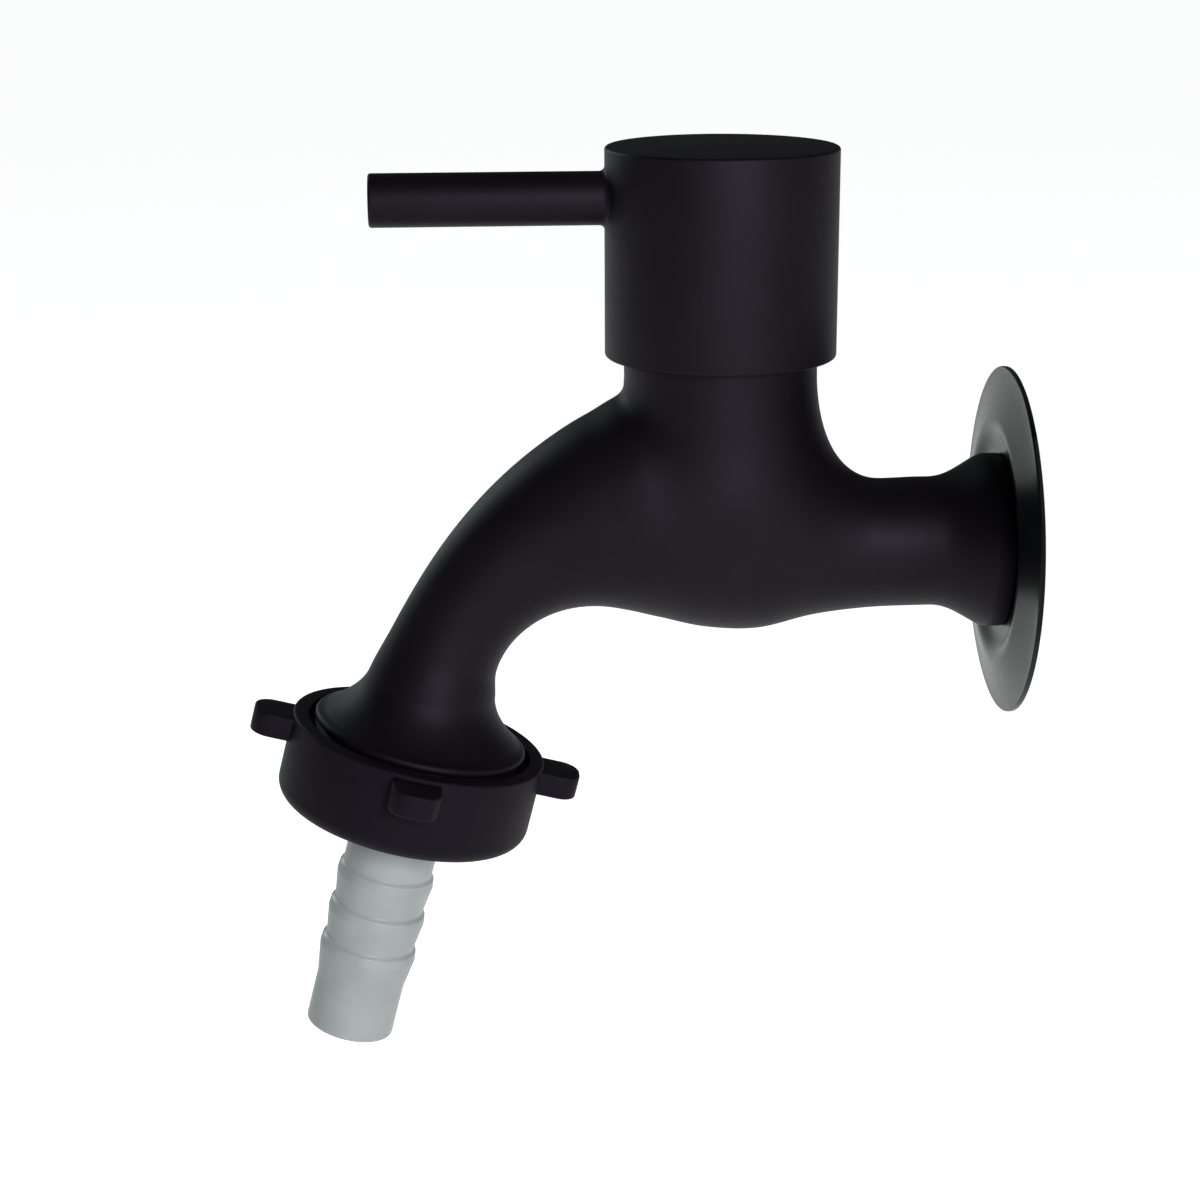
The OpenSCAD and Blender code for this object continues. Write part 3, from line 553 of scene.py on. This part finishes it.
def makeTapBody():
    # the casting: its rings closed to a solid, the neck's top joined on, the waterway cut out
    wallEnd, skin, mouth = bodyGrid()
    body = makeMesh("cast_body", np.vstack([wallEnd, skin, mouth]), "ends")
    # the neck's plain top stands 0.015 mm proud of the skin, above where the fillet ends
    sunkR, proudR = tap["neckR"] - 0.03, tap["neckR"] + 0.015
    neckTop, filletTop = tap["neckTop"], tap["filletTop"]
    neck = rounded([[0.001, 21, 0], [sunkR, 21, 0], [sunkR, filletTop, 0],
                    [proudR, filletTop + 0.3, 0], [proudR, neckTop, 0.4], [0.001, neckTop, 0]])
    # the waterway: a bore from the wall, the headwork's hole with its seat, and the spout's passage
    boreR, boreEnd, threadEnd = tap["inletBoreR"], tap["hubOff"] + tap["seatBoreR"], -tap["inletL"]
    bore = [[0.001, threadEnd - 1], [boreR + 1.9, threadEnd - 1], [boreR, threadEnd + 0.9],
            [boreR, boreEnd], [0.001, boreEnd]]
    seatZ, holeR, openTop = tap["seatZ"], tap["headworkHoleR"], tap["neckTop"] + 1
    hole = [[0.001, -1], [tap["seatBoreR"], -1], [tap["seatBoreR"], seatZ], [tap["chamberR"], seatZ],
            [tap["chamberR"], tap["chamberTop"]], [holeR, tap["chamberTop"] + 0.05],
            [holeR, openTop], [0.001, openTop]]
    line = np.array([[-tap["hubOff"] - 5, seatZ + tap["spoutBoreR"] + 0.5], [-tap["hubOff"] - 23, seatZ + 2],
                     flareAt() + 14 * outletUp(), flareAt() - 1 * outletUp()])
    t = np.linspace(0, 1, 40)
    p, d = curvePoint(line, t), curveSlope(line, t)
    lean = np.arctan2(-d[:, 0], -d[:, 1])[:, None, None]
    a = np.linspace(0, 2 * np.pi, 48, endpoint=False)[None, :, None]
    up = np.concatenate([-np.cos(lean), 0 * lean, np.sin(lean)], -1)
    passage = np.stack([p[:, 0], 0 * p[:, 0], p[:, 1]], 1)[:, None]
    passage = passage + tap["spoutBoreR"] * (up * np.cos(a) + np.array([0, 1.0, 0]) * np.sin(a))
    outR, outEnd = tap["spoutBoreR"] + 0.02, tap["outletEnd"] - 1
    outlet = [[0.001, outEnd], [outR, outEnd], [outR, tap["flareL"]], [0.001, tap["flareL"]]]
    tools = [
        (makeMesh("neck_tool", aboutHub(turned(neck, 168)), "ends"), "UNION"),
        (makeMesh("bore_tool", aboutInlet(turned(bore, 96)), "ends"), "DIFFERENCE"),
        (makeMesh("hole_tool", aboutHub(turned(hole, 120)), "ends"), "DIFFERENCE"),
        (makeMesh("passage_tool", passage, "ends"), "DIFFERENCE"),
        (makeMesh("outlet_tool", aboutOutlet(turned(outlet, 96)), "ends"), "DIFFERENCE"),
    ]
    combine(body, tools, powderCoat)
    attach(body, "body")
    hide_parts("tap_body")
    return body


castBody = makeTapBody()
print("body made:", len(castBody.data.polygons), "faces")

# Wall flange

flange = {
    "outerR": 26.85, "crestR": 18.7, "crestH": 2.2, "recess": 1.1, "sheet": 0.8,
    "holeR": 10.7775, "floorR": 15.05,
}


def makeWallFlange():
    # one pressed sheet: a sunk middle, a raised ring and a cone that falls to a round edge
    f = flange
    u = np.linspace(0, 1, 24)
    cone = np.stack([f["crestR"] + 0.2 + (f["outerR"] - 0.45 - f["crestR"] - 0.2) * u,
                     f["sheet"] + (f["crestH"] - f["sheet"]) * (1 - u) ** 1.3], 1)
    v = np.linspace(0, 1, 16)
    wave = (1 - np.cos(np.pi * v)) / 2
    step = np.stack([f["floorR"] - 0.4 + (f["crestR"] - f["floorR"]) * v,
                     f["recess"] + (f["crestH"] - f["recess"]) * wave], 1)
    edge = rounded([[f["outerR"] - 0.5, f["sheet"], 0], [f["outerR"], f["sheet"], 0.3],
                    [f["outerR"], 0, 0.12], [f["outerR"] - 0.5, 0, 0]])[1:-1]
    crestBack, floorBack = f["crestH"] - f["sheet"], f["recess"] - f["sheet"]
    back = [[f["outerR"] - 2.5, 0], [f["crestR"], crestBack], [f["crestR"] - 1.2, crestBack],
            [f["floorR"], floorBack], [f["holeR"] + 0.15, floorBack], [f["holeR"], floorBack + 0.15]]
    front = [[f["holeR"], f["recess"] - 0.15], [f["holeR"] + 0.15, f["recess"]]]
    profile = np.vstack([front, step, cone, edge, back])
    piece = makeMesh("wall_flange_sheet", aboutInlet(turned(profile, 192)), "rows", sheetCoat, 40)
    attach(piece, "body")
    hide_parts("wall_flange")


makeWallFlange()
print("wall flange made")

# Handle

handle = {
    "hubR": 17.5, "base": 29.8, "top": 61.1, "wall": 1.85, "roofZ": 57.5, "bossR": 10.0, "bossZ": 44.6,
    "edge": 0.45, "leverR": 4.0, "leverZ": 53.6, "reach": 52.5, "fillet": 0.8,
    "bushR": 6.05, "bushTop": 55.4, "grubR": 2.55, "grubZ": 49.5,
}


def makeHandle():
    h = handle
    innerR = h["hubR"] - h["wall"]
    # hub: a skirt, a roof and a boss with the bush's hole, its edges rounded by half a millimetre
    hub = rounded([
        [0.001, h["top"], 0], [h["hubR"], h["top"], h["edge"]], [h["hubR"], h["base"], h["edge"]],
        [innerR, h["base"], 0.35], [innerR, h["roofZ"], 0.6], [h["bossR"], h["roofZ"], 0.6],
        [h["bossR"], h["bossZ"], 0.2], [h["bushR"], h["bossZ"], 0.15],
        [h["bushR"], h["bushTop"], 0], [0.001, h["bushTop"], 0],
    ], 6)
    piece = makeMesh("hub_and_lever", aboutHub(turned(hub, 256)), "ends")
    # lever: rings whose foot follows the hub's round side, at x = sqrt(R^2 - y^2) plus a height
    a = np.linspace(0, 2 * np.pi, 96, endpoint=False)[None]
    b = np.radians(np.linspace(0, 90, 12))[:, None]
    footR = h["leverR"] + h["fillet"] * (1 - np.sin(b))
    footH = h["fillet"] * (1 - np.cos(b))
    y, z = footR * np.cos(a), footR * np.sin(a)
    foot = np.stack([-(np.sqrt(h["hubR"] ** 2 - y ** 2) + footH), y, z], -1)
    wideR = h["leverR"] + h["fillet"]
    inner = np.stack([0 * a - (innerR - 1.2), wideR * np.cos(a), wideR * np.sin(a)], -1)
    sunk = np.stack([-(np.sqrt(h["hubR"] ** 2 - y[:1] ** 2) - 0.3), y[:1], z[:1]], -1)
    tip = rounded([[0.001, h["reach"], 0], [h["leverR"], h["reach"], h["edge"]],
                   [h["leverR"], h["hubR"] + 2, 0]])[:0:-1]
    shaft = np.stack([-tip[:, 1:] + 0 * a, tip[:, :1] * np.cos(a), tip[:, :1] * np.sin(a)], -1)
    lever = np.vstack([inner, sunk, foot, shaft]) + [0, 0, h["leverZ"]]
    # the grub screw's thread in the boss, and the wider hole in the skirt that a key goes through
    keyR = h["grubR"] + 0.25
    hole = [[0.001, innerR - 1], [keyR, innerR - 1], [keyR, h["hubR"] + 1], [0.001, h["hubR"] + 1]]
    thread = [[0.001, 3], [h["grubR"], 3], [h["grubR"], h["bossR"] + 1], [0.001, h["bossR"] + 1]]
    across = lambda p: np.stack([p[..., 2], p[..., 1], -p[..., 0] + h["grubZ"]], -1)
    tools = [
        (makeMesh("lever_tool", aboutHub(lever), "ends"), "UNION"),
        (makeMesh("grub_hole_tool", aboutHub(across(turned(hole, 64))), "ends"), "DIFFERENCE"),
        (makeMesh("grub_thread_tool", aboutHub(across(turned(thread, 64))), "ends"), "DIFFERENCE"),
    ]
    combine(piece, tools, powderCoat, 30)
    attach(piece, "handle")
    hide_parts("handle")


makeHandle()
print("handle made")

# Union nut

nut = {
    "r": 20.1, "h": 13.7, "rimInner": 17.7, "rimDepth": 1.6, "boreR": 16.7245, "floor": 2.2, "holeR": 8.1,
    "round": 2.8, "lugs": 4, "lugOut": 6.0, "lugW": 7.6, "lugT": 3.8, "lugDepth": 0.7, "lugCorner": 3.0,
    "lugEdge": 0.35,
}


def lugGrid(angle):
    # a flat tab: its outline, a rounded rectangle, drawn in by a quarter circle at both faces
    n = nut
    inner, outer, half = n["r"] - 1.4, n["r"] + n["lugOut"], n["lugW"] / 2
    outline = rounded([[inner, -half, 0], [outer, -half, n["lugCorner"]],
                       [outer, half, n["lugCorner"]], [inner, half, 0]], 10)
    middle = np.array([(inner + outer) / 2, 0])
    b = np.radians(np.linspace(0, 90, 5))
    inset = n["lugEdge"] * (1 - np.sin(b))
    rise = n["lugEdge"] * (1 - np.cos(b))
    low, high = -n["lugDepth"] - n["lugT"], -n["lugDepth"]
    scale = lambda d: (outline - middle) * (1 - d / np.array([(outer - inner) / 2, half])) + middle
    ring = lambda d, z: np.column_stack([scale(d), np.full(len(outline), z)])
    rings = [ring(i, low + r) for i, r in zip(inset, rise)]
    rings += [ring(i, high - r) for i, r in zip(inset[::-1], rise[::-1])]
    grid = np.stack(rings)
    c, s = np.cos(angle), np.sin(angle)
    x, y, z = grid[..., 0], grid[..., 1], grid[..., 2]
    return np.stack([x * c - y * s, x * s + y * c, z], -1)


def makeUnionNut():
    # a cup turned from its profile, with the lugs at equal steps of a full turn
    n = nut
    base, floor = -n["h"], -n["h"] + n["floor"]
    profile = rounded([
        [n["holeR"], base, 0.3], [n["r"], base, n["round"]], [n["r"], 0, 0.45], [n["rimInner"], 0, 0.3],
        [n["rimInner"], -n["rimDepth"], 0.15], [n["boreR"], -n["rimDepth"], 0],
        [n["boreR"], floor, 0.2], [n["holeR"], floor, 0.1],
    ], 10)
    piece = makeMesh("lugged_union_nut", aboutOutlet(turned(profile, 192)), "rows")
    angles = 2 * np.pi * np.arange(n["lugs"]) / n["lugs"]
    tools = [(makeMesh("lug_tool", aboutOutlet(lugGrid(angle)), "ends"), "UNION") for angle in angles]
    combine(piece, tools, mouldedNylon, 34)
    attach(piece, "union_nut")
    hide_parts("union_nut")


makeUnionNut()
print("union nut made")

# Hose tail

tail = {"r": 7.0, "barbR": 7.75, "boreR": 5.3, "start": 23.2, "pitch": 6.4, "barbs": 3, "length": 50.7,
        "flangeR": 16.2745, "flangeTop": 9.3, "flangeT": 2.2}


def makeHoseTail():
    # a flange, a neck, and barbs that widen in a sharp step and taper off over their pitch
    t = tail
    top, under = -t["flangeTop"], -t["flangeTop"] - t["flangeT"]
    corners = [[t["boreR"], top, 0.2], [t["flangeR"], top, 0.25], [t["flangeR"], under, 0.25],
               [t["r"] + 0.15, under, 0.15], [t["r"] + 0.15, -t["start"] + 0.5, 0.25]]
    for i in range(t["barbs"]):
        z = -t["start"] - i * t["pitch"]
        last = i == t["barbs"] - 1
        corners += [[t["barbR"] - 0.15, z, 0.3], [t["barbR"], z - 1.3, 1.2]]
        corners += [[t["r"], z - t["pitch"], 3.0]] if last else [[t["r"] + 0.1, z - t["pitch"] + 0.5, 0.3]]
    corners += [[t["r"], -t["length"], 0.35], [t["boreR"], -t["length"], 0.25]]
    shell = aboutOutlet(turned(rounded(corners, 6), 144))
    piece = makeMesh("barbed_hose_tail", shell, "rows", mouldedAcetal, 40)
    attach(piece, "hose_tail")
    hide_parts("hose_tail")


makeHoseTail()
print("hose tail made")

# Finishes of the pieces that stay as the frame has them

carried = {
    "grub_screw": plainSteel, "spline_bush": whiteAcetal,
    "headwork_body": turnedBrass, "headwork_gasket": pressedFibre,
    "spindle": turnedBrass, "spindle_circlip": plainSteel, "spindle_orings": blackRubber,
    "thrust_washer": whiteAcetal, "turning_disc": lappedCeramic, "fixed_disc": lappedCeramic,
    "seat_seal": blackRubber, "hose_washer": blackRubber,
}
for nodeName, material in carried.items():
    nodes[nodeName].data.materials.clear()
    nodes[nodeName].data.materials.append(material)
print("finishes of", len(carried), "inner pieces set")

# Floor, light and camera

studio = {
    "floorZ": -165.0, "floorSize": 60000.0, "worldColour": "#F2F6F8", "worldLight": 0.1,
    "paperDark": "#F3F3F3", "paperLight": "#F8F8F8", "glow": 0.88,
    "wallFrom": -68.0, "wallTo": -18.0, "wallLow": -8.0, "wallTop": 27.0,
}
lamps = {
    "front_box": {"place": (160, -900, 310), "target": (-50, 0, 10), "size": (220, 300),
                  "watts": 9.2, "colour": "#FFFBFF"},
    "left_strip": {"place": (-500, 600, 240), "target": (-80, 0, -20), "size": (120, 300),
                   "watts": 1.3, "colour": "#DCF4F2"},
}
photoCamera = {
    "azimuth": -3.392, "elevation": 16.342, "roll": -0.215, "place": (-85.796, -377.94, 102.452),
    "focalPixels": 2540.77, "framePixels": 1200, "sensor": 36.0,
}


def eyeRays(tree):
    # 1 for what the camera sees straight on, in gloss or through glass
    path = addNode(tree, "ShaderNodeLightPath")
    either = {"operation": "MAXIMUM"}
    gloss = addNode(tree, "ShaderNodeMath", either, {
        0: path.outputs["Is Camera Ray"], 1: path.outputs["Is Glossy Ray"]})
    return addNode(tree, "ShaderNodeMath", either, {
        0: gloss.outputs[0], 1: path.outputs["Is Transmission Ray"]})


def makeBackdrop(name, edges, oneSided):
    # a sheet of white paper stretched between two edges of as many points each; a one-sided
    # sheet is there only for what lies before it
    count = len(edges[0])
    i = np.arange(count - 1)
    faces = np.stack([i, i + 1, count + i + 1, count + i], 1)
    mesh = bpy.data.meshes.new(name)
    mesh.from_pydata((0.001 * np.concatenate(edges)).tolist(), [], faces.tolist())
    obj = bpy.data.objects.new(name, mesh)
    bpy.context.scene.collection.objects.link(obj)
    material, tree, coords = newFinish("paper_of_" + name)
    seen = eyeRays(tree)
    grain = addNode(tree, "ShaderNodeTexNoise", {}, {"Vector": coords, "Scale": 400.0, "Detail": 2.0})
    colour = mixOf(tree, grain.outputs["Fac"], studio["paperDark"], studio["paperLight"])
    paper = addNode(tree, "ShaderNodeBsdfDiffuse", {}, {"Color": colour})
    glow = addNode(tree, "ShaderNodeEmission", {}, {"Color": (1, 1, 1, 1), "Strength": studio["glow"]})
    both = addNode(tree, "ShaderNodeAddShader", {}, {0: paper.outputs[0], 1: glow.outputs[0]})
    mixed = addNode(tree, "ShaderNodeMixShader", {}, {
        0: seen.outputs[0], 1: paper.outputs[0], 2: both.outputs[0]})
    if oneSided:
        behind = addNode(tree, "ShaderNodeNewGeometry").outputs["Backfacing"]
        clear = addNode(tree, "ShaderNodeBsdfTransparent")
        mixed = addNode(tree, "ShaderNodeMixShader", {}, {
            0: behind, 1: mixed.outputs[0], 2: clear.outputs[0]})
    addNode(tree, "ShaderNodeOutputMaterial", {}, {"Surface": mixed.outputs[0]})
    mesh.materials.append(material)


def makeFloorAndWall():
    # a floor, and a small card in the plane of the wall, which hides the inlet's thread from the
    # photograph's side; the card's far edge follows the flange's rim, so it ends where that begins
    s, z = studio["floorSize"] / 2, studio["floorZ"]
    makeBackdrop("studio_floor", [[(-s, -s, z), (s, -s, z)], [(-s, s, z), (s, s, z)]], False)
    height = np.linspace(studio["wallLow"], studio["wallTop"], 48)
    rim = -np.sqrt(np.maximum((flange["outerR"] - 0.1) ** 2 - height ** 2, 0))
    near, far = 0 * height + studio["wallFrom"], np.minimum(rim, studio["wallTo"])
    makeBackdrop("studio_wall", [np.stack([0 * y, y, height], 1) for y in (near, far)], True)


def makeWorld():
    # an even light from all round, at a plain level
    world = bpy.data.worlds.new("studio_world")
    bpy.context.scene.world = world
    world.use_nodes = True
    tree = world.node_tree
    tree.nodes.clear()
    light = addNode(tree, "ShaderNodeBackground", {}, {
        "Color": linearColour(studio["worldColour"]), "Strength": studio["worldLight"]})
    addNode(tree, "ShaderNodeOutputWorld", {}, {"Surface": light.outputs[0]})


def makeLamp(name, place, target, size, watts, colour):
    # a soft rectangular lamp at a place in mm, turned to a target
    data = bpy.data.lights.new(name, "AREA")
    data.shape = "RECTANGLE"
    data.size, data.size_y = size[0] * 0.001, size[1] * 0.001
    data.energy = watts
    data.color = linearColour(colour)[:3]
    lamp = bpy.data.objects.new(name, data)
    bpy.context.scene.collection.objects.link(lamp)
    back = np.array(place, float) - np.array(target, float)
    back /= np.linalg.norm(back)
    side = np.cross([0, 0, 1.0], back)
    side /= np.linalg.norm(side)
    up = np.cross(back, side)
    turn = np.eye(4)
    turn[:3, 0], turn[:3, 1], turn[:3, 2], turn[:3, 3] = side, up, back, np.array(place) * 0.001
    lamp.matrix_world = Matrix(turn.tolist())


def makeCamera():
    # the camera that was fitted to the outlines in the photograph
    c = photoCamera
    az, el, roll = np.radians([c["azimuth"], c["elevation"], c["roll"]])
    place = np.array(c["place"]) * 0.001
    back = np.array([np.sin(az) * np.cos(el), -np.cos(az) * np.cos(el), np.sin(el)])
    right = np.cross(-back, [0, 0, 1.0])
    right /= np.linalg.norm(right)
    up = np.cross(right, -back)
    right, up = np.cos(roll) * right + np.sin(roll) * up, -np.sin(roll) * right + np.cos(roll) * up
    turn = np.eye(4)
    turn[:3, 0], turn[:3, 1], turn[:3, 2], turn[:3, 3] = right, up, back, place
    data = bpy.data.cameras.new("photo_camera")
    data.sensor_width = c["sensor"]
    data.lens = c["focalPixels"] / c["framePixels"] * c["sensor"]
    data.clip_start = 0.01
    camera = bpy.data.objects.new("photo_camera", data)
    bpy.context.scene.collection.objects.link(camera)
    camera.matrix_world = Matrix(turn.tolist())
    bpy.context.scene.camera = camera


makeFloorAndWall()
makeWorld()
for lampName, values in lamps.items():
    makeLamp(lampName, **values)
makeCamera()
bpy.context.scene.view_settings.view_transform = "Standard"
print("floor, light and camera made")
